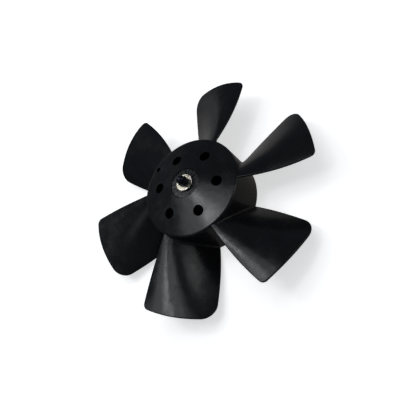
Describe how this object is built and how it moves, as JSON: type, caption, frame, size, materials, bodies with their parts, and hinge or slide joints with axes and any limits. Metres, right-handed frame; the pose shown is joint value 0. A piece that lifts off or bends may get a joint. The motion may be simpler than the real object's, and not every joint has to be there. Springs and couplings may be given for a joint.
{
  "type": "axial fan impeller",
  "caption": "Moulded axial fan impeller with broad twisted blades on a deep cup-shaped hub, with a metal bush, washer and closed nut at its centre.",
  "frame": {"origin": "on the turning axis, in the plane of the hub's open rear rim", "axes": "+Z along the turning axis towards the closed front; +X through one of the six face holes"},
  "size_m": [0.274, 0.28, 0.0727],
  "materials": {
    "black_plastic": "satin, as moulded",
    "bush_steel": "turned, zinc plated",
    "zinc_plate": "bright zinc plate",
    "black_oxide": "oiled black oxide"
  },
  "bodies": {
    "root": {"impeller": "black_plastic", "hub_bush": "bush_steel", "washer": "zinc_plate", "cap_nut": "black_oxide"}
  },
  "joints": []
}
